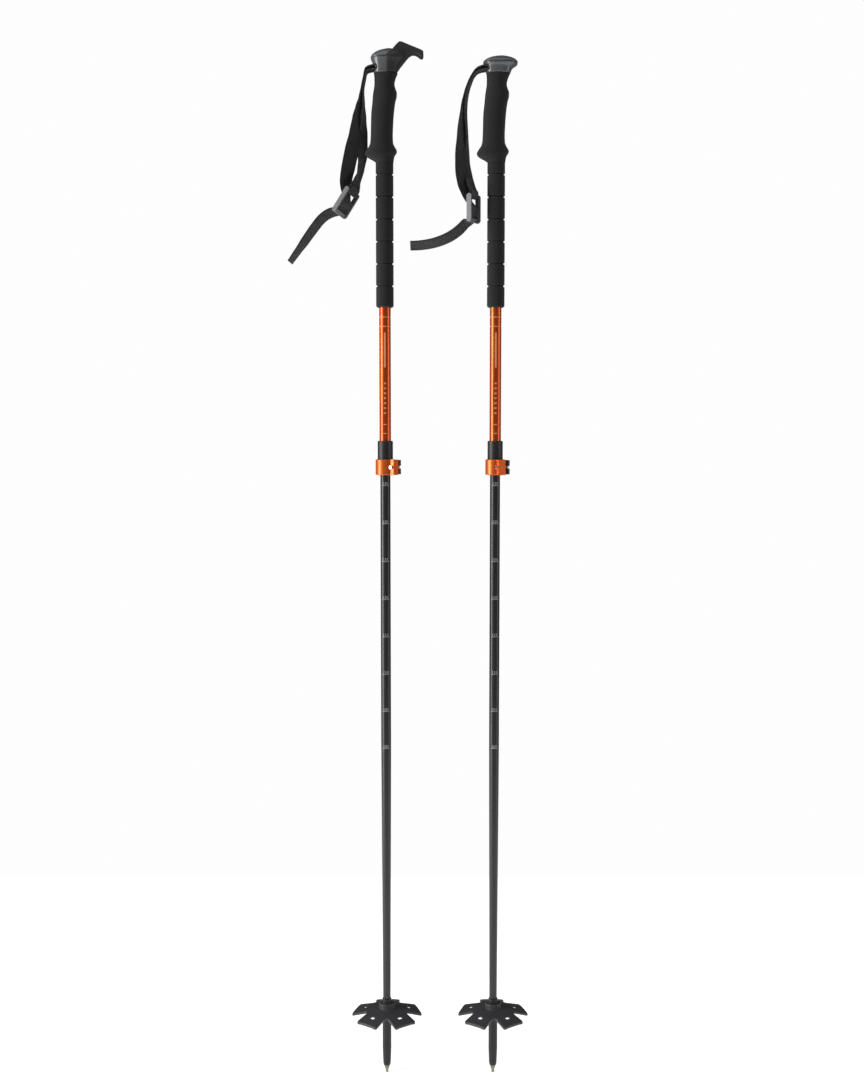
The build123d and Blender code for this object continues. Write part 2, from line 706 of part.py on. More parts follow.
def make_head(side, x):
    rim_z = head_rim_z + head_extra[side]
    half_depth = head_rim[2]
    slot_half = strap_width / 2 + strap_slot_side
    hooked = side == "left"

    shape = head_loft(x, head_sections(side))
    with BuildPart() as head:
        add(shape.part)
        with BuildSketch(standing(x, head_bottom)):
            Circle(core_r + glue_gap)
        extrude(amount=core_top - head_bottom, mode=Mode.SUBTRACT)
        with BuildSketch(standing(x, core_top)):
            Circle(head_screw_r + glue_gap)
        extrude(amount=rim_z - core_top, mode=Mode.SUBTRACT)
        with BuildSketch(standing(x, head_screw_seat)):
            Circle(cap_peg_r + glue_gap)
        extrude(amount=rim_z - head_screw_seat, mode=Mode.SUBTRACT)
        with BuildSketch(across_plane(x, slot_half)):
            with Locations((strap_pin_x, strap_pin_z)):
                Circle(strap_slot_r)
            with Locations((strap_pin_x - head_rim[0] / 2, strap_pin_z)):
                Rectangle(head_rim[0], 2 * strap_slot_r)
        extrude(amount=2 * slot_half, mode=Mode.SUBTRACT)
        with BuildSketch(across_plane(x, strap_pin_half)):
            with Locations((strap_pin_x, strap_pin_z)):
                Circle(strap_pin_r + glue_gap)
        extrude(amount=2 * strap_pin_half, mode=Mode.SUBTRACT)
        if hooked:
            extrude(hook_room(x).sketch, amount=2 * half_depth, both=True, mode=Mode.SUBTRACT)
    save(head, f"{side}_head")

    lid = head_loft(x, cap_sections(side))
    with BuildPart() as cap:
        add(lid.part)
        with BuildSketch(standing(x, rim_z + cap_seam)):
            Circle(cap_peg_r)
        extrude(amount=-cap_seam - cap_peg_depth)
        if hooked:
            extrude(hook_room(x).sketch, amount=2 * half_depth, both=True, mode=Mode.SUBTRACT)
    save(cap, f"{side}_cap")

    if hooked:
        with BuildPart() as saddle:
            add(shape.part)
            add(lid.part)
            extrude(hook_outline(x).sketch, amount=2 * half_depth, both=True, mode=Mode.INTERSECT)
        with BuildPart() as hook:
            add(saddle.part)
            extrude(hook_outline(x).sketch, amount=hook_side, both=True)
            with BuildSketch(standing(x, head_bottom)):
                Circle(core_r + glue_gap)
            extrude(amount=core_top - head_bottom, mode=Mode.SUBTRACT)
            with BuildSketch(standing(x, core_top)):
                Circle(cap_peg_r + glue_gap)
            extrude(amount=rim_z + cap_seam - core_top, mode=Mode.SUBTRACT)
        save(hook, f"{side}_hook")

    with BuildPart() as strap_pin:
        with BuildSketch(across_plane(x, strap_pin_half)):
            with Locations((strap_pin_x, strap_pin_z)):
                Circle(strap_pin_r)
        extrude(amount=2 * strap_pin_half)
    save(strap_pin, f"{side}_strap_pin")

    with BuildPart() as head_screw:
        with BuildSketch(standing(x, head_screw_bottom)):
            Circle(head_screw_r)
        extrude(amount=head_screw_seat - head_screw_bottom)
        with BuildSketch(standing(x, head_screw_seat)):
            Circle(head_screw_head_r)
        extrude(amount=head_screw_head)
        with BuildSketch(standing(x, head_screw_seat + head_screw_head)):
            RegularPolygon(head_screw_r, 6)
        extrude(amount=-hex_depth, mode=Mode.SUBTRACT)
    save(head_screw, f"{side}_head_screw")


# ================================================================ strap
def ribbon(stations, thickness=strap_thickness, width=strap_width):
    """Flat webbing through stations: a point on its middle line and a hint of its width direction."""
    points = [Vector(*place) for place, across in stations]
    with BuildPart() as piece:
        for number, (place, across) in enumerate(stations):
            before = points[max(number - 1, 0)]
            after = points[min(number + 1, len(points) - 1)]
            along = (after - before).normalized()
            hint = Vector(*across)
            side_way = (hint - along * hint.dot(along)).normalized()
            with BuildSketch(Plane(origin=points[number], x_dir=side_way, z_dir=along)):
                Rectangle(width, thickness)
        loft(ruled=True)
    return piece


def turned_width(degrees):
    """The webbing's width direction, turned about the upright from edge-on to face-on."""
    angle = math.radians(degrees)
    return (math.sin(angle), -math.cos(angle), 0)


def buckle_frame(x, centre, lean, turn):
    """Plane of the buckle: its x runs down the buckle, its z out of the front."""
    angle = math.radians(lean)
    down = Vector(-math.sin(angle), 0, -math.cos(angle))
    across = Vector(*turned_width(turn))
    front = down.cross(across)
    place = Vector(*centre) + Vector(x, 0, 0)
    return Plane(origin=place, x_dir=down, z_dir=front)


def make_strap(side, x):
    centre, lean, turn, outer, inner, tail = strap_route[side]
    frame = buckle_frame(x, centre, lean, turn)
    across = tuple(frame.y_dir)

    # The fixed end: round the pin and out of the slot as two layers.
    half = strap_thickness / 2
    wrap_r = strap_pin_r + glue_gap + half
    with BuildPart() as strap_anchor:
        with BuildSketch(across_plane(x, strap_width / 2)):
            with BuildLine():
                over = Line((strap_hinge_x, strap_pin_z + wrap_r), (strap_pin_x, strap_pin_z + wrap_r))
                ThreePointArc(over @ 1, (strap_pin_x + wrap_r, strap_pin_z),
                              (strap_pin_x, strap_pin_z - wrap_r))
                Line((strap_pin_x, strap_pin_z - wrap_r), (strap_hinge_x, strap_pin_z - wrap_r))
            trace(line_width=strap_thickness)
        extrude(amount=strap_width)
    save(strap_anchor, f"{side}_strap_anchor")

    def local(down, out):
        point = frame.from_local_coords(Vector(down, 0, out))
        return ((point.X, point.Y, point.Z), across)

    def world(stations):
        return [((x + place[0], place[1], place[2]), turned_width(angle)) for place, angle in stations]

    top_bar, middle_bar, bottom_bar = bar_places
    over_bar = bar_r + half + strap_bar_gap
    over_seam = bar_r + strap_bar_gap + strap_thickness + half + strap_bar_gap
    weave = [
        local(top_bar + 4.5, over_seam + 3.4),
        local(top_bar + 9.0, over_seam - 0.6),
        local(middle_bar - 3.4, -0.2),
        local(middle_bar, -over_bar),
        local((middle_bar + bottom_bar) / 2, 0),
        local(bottom_bar, over_bar),
    ]
    tail_stations = [((x + place[0], place[1], place[2]), hint) for place, hint in tail]
    outer_strand = ribbon(world(outer) + weave + tail_stations)
    inner_end = [local(top_bar - 6.5, 0.4), local(top_bar - over_bar - 0.2, 0)]
    inner_strand = ribbon(world(inner) + inner_end)
    with BuildPart() as strap_loop:
        add(outer_strand.part)
        add(inner_strand.part)
    save(strap_loop, f"{side}_strap_loop")

    bar_length = buckle_width - buckle_plate
    with BuildPart() as buckle:
        for edge in (-buckle_width / 2, buckle_width / 2 - buckle_plate):
            plate = Plane(origin=frame.from_local_coords(Vector(0, edge, 0)),
                          x_dir=frame.x_dir, z_dir=frame.y_dir)
            with BuildSketch(plate):
                RectangleRounded(buckle_length, buckle_depth, buckle_corner)
            extrude(amount=buckle_plate)
        for place in bar_places:
            rod = Plane(origin=frame.from_local_coords(Vector(place, -bar_length / 2, 0)),
                        x_dir=frame.x_dir, z_dir=frame.y_dir)
            with BuildSketch(rod):
                Circle(bar_r)
            extrude(amount=bar_length)
        lip_at = Vector(bar_places[-1] + buckle_lip / 2, -bar_length / 2, 0)
        lip = Plane(origin=frame.from_local_coords(lip_at), x_dir=frame.x_dir, z_dir=frame.y_dir)
        with BuildSketch(lip):
            RectangleRounded(buckle_lip, buckle_lip_thickness, buckle_lip_thickness * 0.45)
        extrude(amount=bar_length)
    save(buckle, f"{side}_buckle")


# ================================================================ both poles
for side, x, turn in (("left", 0.0, left_clamp_turn), ("right", pole_spacing, right_clamp_turn)):
    make_tip(side, x)
    make_ferrule(side, x)
    make_basket(side, x)
    make_lower_shaft(side, x)
    make_upper_shaft(side, x)
    make_clamp_sleeve(side, x, turn)
    make_clamp_band(side, x, turn)
    make_lever(side, x, turn)
    make_grip(side, x)
    make_head(side, x)
    make_strap(side, x)
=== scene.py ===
import bpy
import bmesh
import json
import math
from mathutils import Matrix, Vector


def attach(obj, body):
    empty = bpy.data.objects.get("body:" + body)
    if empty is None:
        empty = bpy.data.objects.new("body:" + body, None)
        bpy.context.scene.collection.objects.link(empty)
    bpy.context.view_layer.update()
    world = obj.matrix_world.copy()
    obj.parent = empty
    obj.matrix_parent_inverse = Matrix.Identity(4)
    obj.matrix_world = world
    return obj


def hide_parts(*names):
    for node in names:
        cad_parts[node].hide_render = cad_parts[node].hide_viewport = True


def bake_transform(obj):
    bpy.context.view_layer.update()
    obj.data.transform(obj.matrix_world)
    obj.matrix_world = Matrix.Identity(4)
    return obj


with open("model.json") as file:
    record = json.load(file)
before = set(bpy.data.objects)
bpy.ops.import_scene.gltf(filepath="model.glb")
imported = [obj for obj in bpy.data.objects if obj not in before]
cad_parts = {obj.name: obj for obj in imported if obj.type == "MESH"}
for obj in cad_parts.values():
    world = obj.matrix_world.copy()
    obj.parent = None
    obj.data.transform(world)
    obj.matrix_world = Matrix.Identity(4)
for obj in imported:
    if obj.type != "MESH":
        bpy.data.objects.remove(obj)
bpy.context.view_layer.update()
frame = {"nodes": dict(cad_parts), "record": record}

MM = 0.001
POLE_X = {"left": 0.0, "right": 0.144}
scene = bpy.context.scene


# ================================================================ camera and light
def linear(r, g, b):
    """An 8-bit screen colour as scene-linear numbers."""
    return tuple((c / 255 / 12.92) if c <= 10 else ((c / 255 + 0.055) / 1.055) ** 2.4 for c in (r, g, b))


camera = bpy.data.objects.new("camera", bpy.data.cameras.new("camera"))
camera.location = (0.0612, -1.8, 0.8804)
camera.rotation_euler = (math.radians(85.143), 0, 0)
camera.data.sensor_fit = "VERTICAL"
camera.data.sensor_height = 36
camera.data.lens = 1370 / 1080 * 36
scene.collection.objects.link(camera)
scene.camera = camera
scene.view_settings.view_transform = "Standard"


def softbox(name, place, aim, size, power, colour=(1, 1, 1)):
    lamp = bpy.data.lights.new(name, "AREA")
    lamp.shape = "RECTANGLE"
    lamp.size, lamp.size_y = size
    lamp.energy = power
    lamp.color = colour
    box = bpy.data.objects.new(name, lamp)
    box.location = place
    box.rotation_euler = (Vector(aim) - Vector(place)).to_track_quat("-Z", "Y").to_euler()
    scene.collection.objects.link(box)


softbox("softbox_left", (-1.7, -0.6, 0.95), (0.07, 0, 0.8), (0.75, 2.2), 44)
softbox("softbox_right", (1.8, -0.5, 0.95), (0.07, 0, 0.8), (0.7, 2.2), 9)
softbox("softbox_top", (0.0, -0.5, 2.6), (0.07, 0, 0.9), (1.6, 1.2), 7)

world = bpy.data.worlds.new("studio")
scene.world = world
world.use_nodes = True
tree = world.node_tree
tree.nodes.clear()
seen = tree.nodes.new("ShaderNodeBackground")
seen.inputs["Color"].default_value = (0.985, 0.985, 0.985, 1)
fill = tree.nodes.new("ShaderNodeBackground")
fill.inputs["Color"].default_value = (0.10, 0.10, 0.103, 1)
rays = tree.nodes.new("ShaderNodeLightPath")
choose = tree.nodes.new("ShaderNodeMixShader")
out = tree.nodes.new("ShaderNodeOutputWorld")
tree.links.new(rays.outputs["Is Camera Ray"], choose.inputs[0])
tree.links.new(fill.outputs[0], choose.inputs[1])
tree.links.new(seen.outputs[0], choose.inputs[2])
tree.links.new(choose.outputs[0], out.inputs[0])


# ================================================================ materials
class Finish:
    """A node material read in object space, so that its grain is in metres on the part."""

    def __init__(self, name, colour, roughness, metallic=0.0, specular=0.5, coat=0.0, coat_roughness=0.1,
                 sheen=0.0):
        self.material = bpy.data.materials.new(name)
        self.material.use_nodes = True
        self.tree = self.material.node_tree
        self.shader = self.tree.nodes["Principled BSDF"]
        self.colour = linear(*colour)
        self.roughness = roughness
        put = self.shader.inputs
        put["Base Color"].default_value = (*self.colour, 1)
        put["Roughness"].default_value = roughness
        put["Metallic"].default_value = metallic
        put["Specular IOR Level"].default_value = specular
        put["Coat Weight"].default_value = coat
        put["Coat Roughness"].default_value = coat_roughness
        put["Sheen Weight"].default_value = sheen
        self.place = self.node("ShaderNodeTexCoord").outputs["Object"]
        self.tint = None
        self.normal = None

    def node(self, kind, **settings):
        made = self.tree.nodes.new(kind)
        for key, value in settings.items():
            setattr(made, key, value)
        return made

    def link(self, a, b):
        self.tree.links.new(a, b)

    def stretched(self, scale):
        step = self.node("ShaderNodeMapping")
        step.inputs["Scale"].default_value = scale
        self.link(self.place, step.inputs["Vector"])
        return step.outputs[0]

    def noise(self, scale, detail=3.0, rough=0.55, stretch=None):
        grain = self.node("ShaderNodeTexNoise")
        grain.inputs["Scale"].default_value = scale
        grain.inputs["Detail"].default_value = detail
        grain.inputs["Roughness"].default_value = rough
        self.link(self.stretched(stretch) if stretch else self.place, grain.inputs["Vector"])
        return grain.outputs["Fac"]

    def spread(self, value, low, high, to_low, to_high):
        step = self.node("ShaderNodeMapRange")
        ends = {"From Min": low, "From Max": high, "To Min": to_low, "To Max": to_high}
        for socket, number in ends.items():
            step.inputs[socket].default_value = number
        self.link(value, step.inputs["Value"])
        return step.outputs[0]

    def math(self, how, a, b=None):
        step = self.node("ShaderNodeMath", operation=how)
        for socket, value in zip(step.inputs, (a, b)):
            if value is None:
                continue
            if isinstance(value, (int, float)):
                socket.default_value = value
            else:
                self.link(value, socket)
        return step.outputs[0]

    def colours(self, share, second):
        """The base colour moving towards a second one by share."""
        mix = self.node("ShaderNodeMix", data_type="RGBA")
        mix.inputs["Factor"].default_value = 0
        self.link(share, mix.inputs["Factor"])
        if self.tint is None:
            mix.inputs["A"].default_value = (*self.colour, 1)
        else:
            self.link(self.tint, mix.inputs["A"])
        mix.inputs["B"].default_value = (*linear(*second), 1)
        self.tint = mix.outputs["Result"]
        self.link(self.tint, self.shader.inputs["Base Color"])
        return self

    def vary_roughness(self, value, amount):
        self.link(self.spread(value, 0.3, 0.7, self.roughness - amount, self.roughness + amount),
                  self.shader.inputs["Roughness"])
        return self

    def rounded(self, radius):
        """Softens the CAD solid's sharp edges in the shading."""
        edge = self.node("ShaderNodeBevel", samples=4)
        edge.inputs["Radius"].default_value = radius
        self.normal = edge.outputs[0]
        self.link(self.normal, self.shader.inputs["Normal"])
        return self

    def bump(self, height, distance, strength=1.0):
        step = self.node("ShaderNodeBump")
        step.inputs["Distance"].default_value = distance
        step.inputs["Strength"].default_value = strength
        self.link(height, step.inputs["Height"])
        if self.normal is not None:
            self.link(self.normal, step.inputs["Normal"])
        self.normal = step.outputs[0]
        self.link(self.normal, self.shader.inputs["Normal"])
        return self

    def painted_edge_highlight(self, radius, colour, amount):
        """Paler edges: a painted highlight along the rounded edges, broken up by noise."""
        edge = self.node("ShaderNodeBevel", samples=4)
        edge.inputs["Radius"].default_value = radius
        flat = self.node("ShaderNodeNewGeometry").outputs["Normal"]
        dot = self.node("ShaderNodeVectorMath", operation="DOT_PRODUCT")
        self.link(edge.outputs[0], dot.inputs[0])
        self.link(flat, dot.inputs[1])
        mask = self.spread(dot.outputs["Value"], 0.98, 0.80, 0, amount)
        broken = self.spread(self.noise(900, 2), 0.35, 0.6, 0.3, 1)
        return self.colours(self.math("MULTIPLY", mask, broken), colour)


def foam():
    made = Finish("eva_foam", (33, 33, 34), 0.9, specular=0.28, sheen=0.12)
    cells = made.node("ShaderNodeTexVoronoi", feature="F1")
    cells.inputs["Scale"].default_value = 1900
    made.link(made.place, cells.inputs["Vector"])
    fine = made.noise(3400, 3)
    patch = made.noise(60, 3)
    made.colours(made.spread(patch, 0.3, 0.7, 0, 0.35), (48, 48, 49))
    made.colours(made.spread(cells.outputs["Distance"], 0.45, 0.75, 0, 0.45), (20, 20, 21))
    made.vary_roughness(patch, 0.05)
    skin = made.math("ADD", made.math("MULTIPLY", cells.outputs["Distance"], -0.6), fine)
    return made.rounded(0.0006).bump(skin, 0.00022, 0.55).material


def anodised_orange():
    made = Finish("anodised_orange", (226, 92, 30), 0.30, metallic=0.75, specular=0.5, coat=0.35,
                  coat_roughness=0.18)
    drawn = made.noise(900, 2, stretch=(1, 1, 0.02))
    cloud = made.noise(25, 3)
    made.colours(made.spread(cloud, 0.35, 0.7, 0, 0.3), (206, 76, 20))
    made.vary_roughness(drawn, 0.06)
    return made.bump(drawn, 0.00002, 0.35).material


def anodised_black():
    made = Finish("anodised_black", (46, 46, 47), 0.34, metallic=0.35, specular=0.5, coat=0.15,
                  coat_roughness=0.25)
    drawn = made.noise(1100, 2, stretch=(1, 1, 0.02))
    cloud = made.noise(18, 3)
    made.colours(made.spread(cloud, 0.35, 0.7, 0, 0.4), (38, 38, 39))
    made.vary_roughness(drawn, 0.05)
    return made.bump(drawn, 0.00002, 0.3).material


def moulded(name, colour, roughness, grain=2200, depth=0.00006, edge=0.0004, **more):
    made = Finish(name, colour, roughness, **more)
    skin = made.noise(grain, 4)
    flow = made.noise(70, 3)
    paler = tuple(min(255, int(c * 1.12) + 2) for c in colour)
    made.colours(made.spread(flow, 0.35, 0.7, 0, 0.5), paler)
    made.vary_roughness(skin, 0.06)
    return made.rounded(edge).bump(skin, depth, 0.5).material


def gloss_grey():
    made = Finish("gloss_grey", (92, 93, 95), 0.26, specular=0.5, coat=0.25, coat_roughness=0.12)
    flow = made.noise(55, 3)
    skin = made.noise(1400, 3)
    made.colours(made.spread(flow, 0.35, 0.7, 0, 0.5), (80, 81, 83))
    made.vary_roughness(skin, 0.05)
    return made.bump(skin, 0.00003, 0.3).material


def plated(name, colour, roughness, turned=True):
    made = Finish(name, colour, roughness, metallic=0.95)
    lines = made.noise(2600, 2, stretch=(0.2, 0.2, 1) if turned else None)
    spots = made.noise(420, 4)
    made.colours(made.spread(spots, 0.5, 0.75, 0, 0.5), tuple(int(c * 0.7) for c in colour))
    made.vary_roughness(lines, 0.08)
    return made.rounded(0.0002).bump(lines, 0.00003, 0.5).material


def webbing():
    """Narrow woven polyester: ribs across the strap, read from its own length and width in metres."""
    made = Finish("woven_webbing", (40, 40, 41), 0.82, specular=0.3, sheen=0.25)
    where = made.node("ShaderNodeUVMap", uv_map="along_strap")
    apart = made.node("ShaderNodeSeparateXYZ")
    made.link(where.outputs[0], apart.inputs[0])
    across, along = apart.outputs["X"], apart.outputs["Y"]
    # Warp yarns along the strap, 0.9 mm apart, crossed by picks 0.7 mm apart, every other one raised.
    warp = made.math("SINE", made.math("MULTIPLY", across, 2 * math.pi / 0.0009))
    pick = made.math("SINE", made.math("ADD", made.math("MULTIPLY", along, 2 * math.pi / 0.0014),
                                       made.math("MULTIPLY", made.math("SIGN", warp), math.pi / 2)))
    raised = made.math("MULTIPLY", made.math("ABSOLUTE", warp), made.spread(pick, -1, 1, 0.2, 1))
    # Selvedge: the outer millimetre is bound tighter and a little darker.
    edge = made.math("ABSOLUTE", made.math("SUBTRACT", across, 0.010))
    bound = made.spread(edge, 0.0086, 0.0090, 0, 1)
    fibre = made.noise(5200, 3)
    fade = made.noise(45, 3)
    # Painted shade: the weave's low points, between and under the raised yarns, are darkened.
    made.colours(made.spread(raised, 0, 1, 0.55, 0), (17, 17, 18))
    made.colours(made.spread(fade, 0.35, 0.7, 0, 0.3), (52, 52, 53))
    made.colours(made.math("MULTIPLY", bound, 0.6), (24, 24, 25))
    made.vary_roughness(fibre, 0.08)
    skin = made.math("ADD", raised, made.math("MULTIPLY", fibre, 0.35))
    return made.bump(skin, 0.00028, 0.7).material


def printed(name, colour):
    made = Finish(name, colour, 0.55, specular=0.4)
    speckle = made.noise(2600, 4)
    made.colours(made.spread(speckle, 0.52, 0.75, 0, 0.55), tuple(int(c * 0.6) for c in colour))
    made.vary_roughness(speckle, 0.08)
    return made.bump(speckle, 0.00002, 0.4).material


def band_orange():
    made = Finish("band_orange", (240, 104, 36), 0.36, metallic=0.6, coat=0.3, coat_roughness=0.2)
    skin = made.noise(1500, 3)
    made.vary_roughness(skin, 0.07).rounded(0.0004)
    # Painted highlight: pale orange along the band's rounded edges.
    made.painted_edge_highlight(0.0006, (250, 170, 110), 0.6)
    return made.bump(skin, 0.00004, 0.4).material


LOOK = {
    "tip_steel": plated("tip_steel", (138, 137, 130), 0.4),
    "olive_metal": plated("olive_metal", (136, 131, 108), 0.46),
    "tip_plastic": moulded("tip_plastic", (20, 20, 21), 0.42, specular=0.4),
    "basket_plastic": moulded("basket_plastic", (58, 58, 60), 0.5, grain=1500, depth=0.00008,
                              specular=0.45),
    "black_shaft": anodised_black(),
    "orange_shaft": anodised_orange(),
    "clamp_plastic": moulded("clamp_plastic", (30, 29, 30), 0.45),
    "orange_band": band_orange(),
    "steel": plated("plated_steel", (190, 190, 190), 0.28, turned=False),
    "lever_black": moulded("lever_black", (36, 33, 33), 0.4),
    "foam": foam(),
    "grey_gloss": gloss_grey(),
    "hook_rubber": moulded("hook_rubber", (44, 44, 46), 0.55, grain=1800, specular=0.4),
    "webbing": webbing(),
    "buckle_plastic": moulded("buckle_plastic", (112, 113, 115), 0.36, grain=1700, depth=0.00005),
}

slot_of = {part["node"]: part["material_slot"] for part in frame["record"]["subparts"]}
for name, node in frame["nodes"].items():
    look = LOOK[slot_of[name]]
    if node.material_slots:
        for place in node.material_slots:
            place.material = look
    else:
        node.data.materials.append(look)


# ================================================================ mesh helpers
def make_piece(name, verts, faces, slot, smooth=True, look=None):
    mesh = bpy.data.meshes.new(name)
    mesh.from_pydata([tuple(v) for v in verts], [], faces)
    mesh.validate()
    bm = bmesh.new()
    bm.from_mesh(mesh)
    bmesh.ops.recalc_face_normals(bm, faces=bm.faces)
    bm.to_mesh(mesh)
    bm.free()
    for face in mesh.polygons:
        face.use_smooth = smooth
    mesh.materials.append(look or LOOK[slot])
    piece = bpy.data.objects.new(name, mesh)
    scene.collection.objects.link(piece)
    return piece


def apply_all(piece):
    """The piece's mesh with its modifiers worked in."""
    bpy.context.view_layer.update()
    graph = bpy.context.evaluated_depsgraph_get()
    done = bpy.data.meshes.new_from_object(piece.evaluated_get(graph))
    piece.modifiers.clear()
    old = piece.data
    piece.data = done
    bpy.data.meshes.remove(old)
    return piece


def smooth_rows(rows, step):
    """Rows of numbers, the first one rising, filled in at about step with a monotone cubic."""
    n = len(rows)
    h = [rows[i + 1][0] - rows[i][0] for i in range(n - 1)]
    columns = len(rows[0])
    slopes = []
    for c in range(1, columns):
        d = [(rows[i + 1][c] - rows[i][c]) / h[i] for i in range(n - 1)]
        m = [d[0]] + [0.0] * (n - 2) + [d[-1]]
        for i in range(1, n - 1):
            if d[i - 1] * d[i] > 0:
                w1, w2 = 2 * h[i] + h[i - 1], h[i] + 2 * h[i - 1]
                m[i] = (w1 + w2) / (w1 / d[i - 1] + w2 / d[i])
        slopes.append(m)
    out = []
    for i in range(n - 1):
        count = max(1, round(h[i] / step))
        for k in range(count):
            t = k / count
            row = [rows[i][0] + t * h[i]]
            for c in range(1, columns):
                m = slopes[c - 1]
                a, b = rows[i][c], rows[i + 1][c]
                row.append((2 * t**3 - 3 * t**2 + 1) * a + (t**3 - 2 * t**2 + t) * h[i] * m[i]
                           + (-2 * t**3 + 3 * t**2) * b + (t**3 - t**2) * h[i] * m[i + 1])
            out.append(row)
    out.append(list(rows[-1]))
    return out


def oval_ring(x, row, count, square=2.0):
    """Points round a level superellipse: height, reach to rear, reach to front, half depth, in mm."""
    height, rear, front, depth = row
    middle, reach = (front - rear) / 2, (front + rear) / 2
    ring = []
    for k in range(count):
        angle = 2 * math.pi * k / count
        c, s = math.cos(angle), math.sin(angle)
        px = middle + reach * math.copysign(abs(c) ** (2 / square), c)
        py = depth * math.copysign(abs(s) ** (2 / square), s)
        ring.append(Vector((x + px * MM, py * MM, height * MM)))
    return ring


def skin(name, rings, slot, hollow=False):
    """A surface through rings of points: capped at both ends, or joined from its last ring to its first."""
    count = len(rings[0])
    verts = [v for ring in rings for v in ring]
    faces = []
    for i in range(len(rings) if hollow else len(rings) - 1):
        over = (i + 1) % len(rings)
        for k in range(count):
            near, far = k, (k + 1) % count
            faces.append((i * count + near, i * count + far, over * count + far, over * count + near))
    if not hollow:
        for i, flip in ((0, True), (len(rings) - 1, False)):
            middle = len(verts)
            verts.append(sum(rings[i], Vector()) / count)
            for k in range(count):
                a, b = i * count + k, i * count + (k + 1) % count
                faces.append((middle, b, a) if flip else (middle, a, b))
    return make_piece(name, verts, faces, slot)


def smooth_path(points, step):
    """Points along a centripetal spline through the given ones, about step apart."""
    ends = [points[0] * 2 - points[1], *points, points[-1] * 2 - points[-2]]
    out, marks = [], []
    for i in range(1, len(ends) - 2):
        p0, p1, p2, p3 = ends[i - 1], ends[i], ends[i + 1], ends[i + 2]
        t0 = 0.0
        t1 = t0 + max((p1 - p0).length, 1e-9) ** 0.5
        t2 = t1 + max((p2 - p1).length, 1e-9) ** 0.5
        t3 = t2 + max((p3 - p2).length, 1e-9) ** 0.5
        count = max(2, round((p2 - p1).length / step))
        for k in range(count):
            t = t1 + (t2 - t1) * k / count
            a1 = p0 * ((t1 - t) / (t1 - t0)) + p1 * ((t - t0) / (t1 - t0))
            a2 = p1 * ((t2 - t) / (t2 - t1)) + p2 * ((t - t1) / (t2 - t1))
            a3 = p2 * ((t3 - t) / (t3 - t2)) + p3 * ((t - t2) / (t3 - t2))
            b1 = a1 * ((t2 - t) / (t2 - t0)) + a2 * ((t - t0) / (t2 - t0))
            b2 = a2 * ((t3 - t) / (t3 - t1)) + a3 * ((t - t1) / (t3 - t1))
            out.append(b1 * ((t2 - t) / (t2 - t1)) + b2 * ((t - t1) / (t2 - t1)))
            marks.append(i - 1 + k / count)
    out.append(points[-1].copy())
    marks.append(len(points) - 1)
    return out, marks


# ================================================================ grip, head and cap
GRIP = [
    (1216.0, 12.0, 11.8, 11.8), (1218.5, 15.8, 12.1, 13.2), (1221.5, 21.4, 12.6, 15.2),
    (1224.6, 24.7, 13.9, 17.1), (1227.0, 25.2, 15.6, 17.6), (1229.6, 24.0, 16.2, 17.3),
    (1232.5, 22.2, 15.0, 16.4), (1236.5, 19.6, 12.6, 14.8), (1241.0, 18.3, 11.2, 13.8),
    (1249.0, 17.7, 10.9, 13.3), (1261.0, 17.4, 11.3, 13.2), (1276.0, 17.0, 12.3, 13.2),
    (1291.5, 15.4, 14.3, 13.0), (1299.0, 14.8, 16.1, 12.8), (1303.0, 14.3, 16.2, 12.6),
    (1309.0, 13.3, 14.2, 12.4), (1314.0, 12.7, 13.2, 12.2), (1320.5, 12.7, 14.6, 12.2),
    (1327.0, 13.2, 17.4, 12.8),
]
GRIP_BORE = 9.05
RIM_Z = {"left": 1345.5, "right": 1339.5}
CAP_RISE = {"left": 12.5, "right": 9.4}
DOME = [(0.3, 15.3, 25.4, 15.8), (0.57, 11.2, 21.4, 12.8), (0.78, 5.6, 16.2, 9.2), (0.92, -0.4, 11.8, 5.6),
        (0.98, -2.4, 9.9, 3.6), (1.0, -3.2, 9.0, 2.6)]
RIM = (17.4, 27.0, 17.5)
AROUND = 96


def make_grip(side, x):
    rows = [(z, a - 0.05, b - 0.05, c - 0.05) for z, a, b, c in smooth_rows(GRIP, 1.0)]
    bottom = rows[0]
    rings = [oval_ring(x, (bottom[0], *(v - 1.2 for v in bottom[1:])), AROUND)]
    rings += [oval_ring(x, row, AROUND) for row in rows]
    rings += [oval_ring(x, (end[0], *[GRIP_BORE] * 3), AROUND) for end in (rows[-1], bottom)]
    grip = skin(f"{side}_grip_shape", rings, "foam", hollow=True)
    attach(grip, f"{side}_upper")
    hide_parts(f"{side}_grip_foam")


def head_rows(side):
    rim = RIM_Z[side]
    rear, front, depth = RIM
    span = rim - 1327.0
    return smooth_rows([
        (1327.0, 12.9, 17.1, 12.7),
        (1327.7, 13.5, 17.8, 13.3),
        (1327.0 + 0.3 * span, 13.6, 18.8, 13.7),
        (1327.0 + 0.62 * span, 14.6, 21.4, 14.8),
        (rim - 2.2, 16.3, 25.2, 16.5),
        (rim - 0.8, rear - 0.25, front - 0.3, depth - 0.25),
        (rim - 0.25, rear - 0.15, front - 0.1, depth - 0.1),
        (rim, rear - 0.7, front - 0.7, depth - 0.7),
    ], 0.8)


def cap_rows(side):
    rear, front, depth = RIM
    bottom = RIM_Z[side] + 0.5
    rise = CAP_RISE[side]
    rows = [(bottom, rear - 0.7, front - 0.7, depth - 0.7),
            (bottom + 0.3, rear - 0.15, front - 0.15, depth - 0.15),
            (bottom + 0.9, rear, front, depth)]
    for share, *reach in DOME:
        rows.append((bottom + 0.9 + (rise - 0.9) * share, *reach))
    return smooth_rows(rows, 0.7)


def boolean(piece, tool, how):
    step = piece.modifiers.new("cut", "BOOLEAN")
    step.operation = how
    step.solver = "EXACT"
    step.object = tool
    apply_all(piece)
    bpy.data.objects.remove(tool)
    return piece


